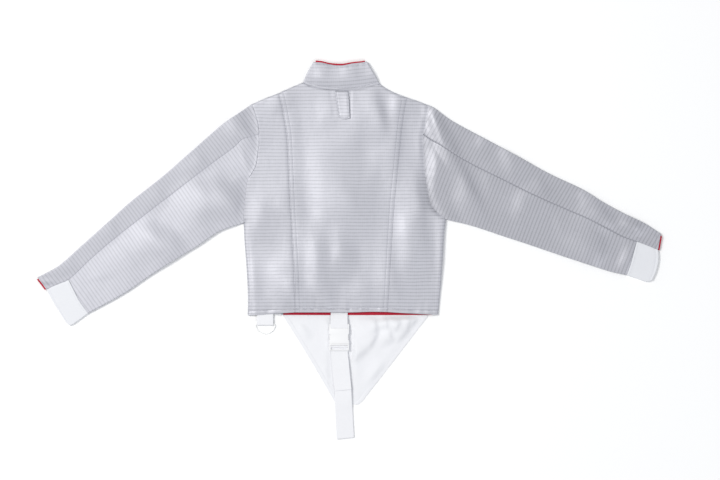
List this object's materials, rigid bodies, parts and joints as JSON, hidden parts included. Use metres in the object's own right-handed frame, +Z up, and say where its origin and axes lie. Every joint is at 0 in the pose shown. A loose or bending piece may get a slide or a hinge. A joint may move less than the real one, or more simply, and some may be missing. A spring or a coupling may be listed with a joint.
{
  "type": "fencing lame",
  "caption": "Long-sleeved sabre lame laid flat with its back up: striped metallic cloth, stand collar, white cuffs, red lining, crotch panel, buckled strap and ring tab.",
  "frame": {"origin": "centre of the bounding box's base, on the surface that the garment lies on", "axes": "+X along the spread of the sleeves, to the right when the back is seen from above; +Y from hem to collar; +Z up, away from the surface"},
  "size_m": [1.4349, 0.8711, 0.0138],
  "materials": {
    "lame": "woven metallic cloth with fine stripes",
    "white": "plain woven cotton",
    "red": "plain woven lining",
    "webbing": "ribbed webbing",
    "plastic": "moulded, satin",
    "steel": "nickel plated"
  },
  "bodies": {
    "garment": {"back_centre": "lame", "back_left": "lame", "back_right": "lame", "front_main": "lame", "front_left": "lame", "front_zip": "white", "zip_slider": "steel", "collar": "lame", "collar_lining": "red", "sleeve_left_top": "lame", "sleeve_left_under": "lame", "cuff_left": "white", "cuff_lining_left": "red", "sleeve_right_top": "lame", "sleeve_right_under": "lame", "cuff_right": "white", "cuff_lining_right": "red", "hang_tab": "lame", "hem_facing": "red", "crotch_panel": "white", "strap_upper": "webbing", "buckle_female": "plastic", "buckle_male": "plastic", "crotch_strap": "webbing", "ring_tab": "webbing"},
    "zip_pull": {"zip_pull": "steel"},
    "d_ring": {"d_ring": "steel"}
  },
  "joints": [
    {"name": "zip_pull_hinge", "type": "hinge", "parent": "garment", "child": "zip_pull", "pos_m": [-0.0612, 0.379, 0.0015], "axis": [0.9792, -0.2027, 0], "range_deg": [0, 170]},
    {"name": "d_ring_hinge", "type": "hinge", "parent": "garment", "child": "d_ring", "pos_m": [-0.194, -0.1705, 0.0033], "axis": [1, 0, 0], "range_deg": [-150, 150]}
  ]
}
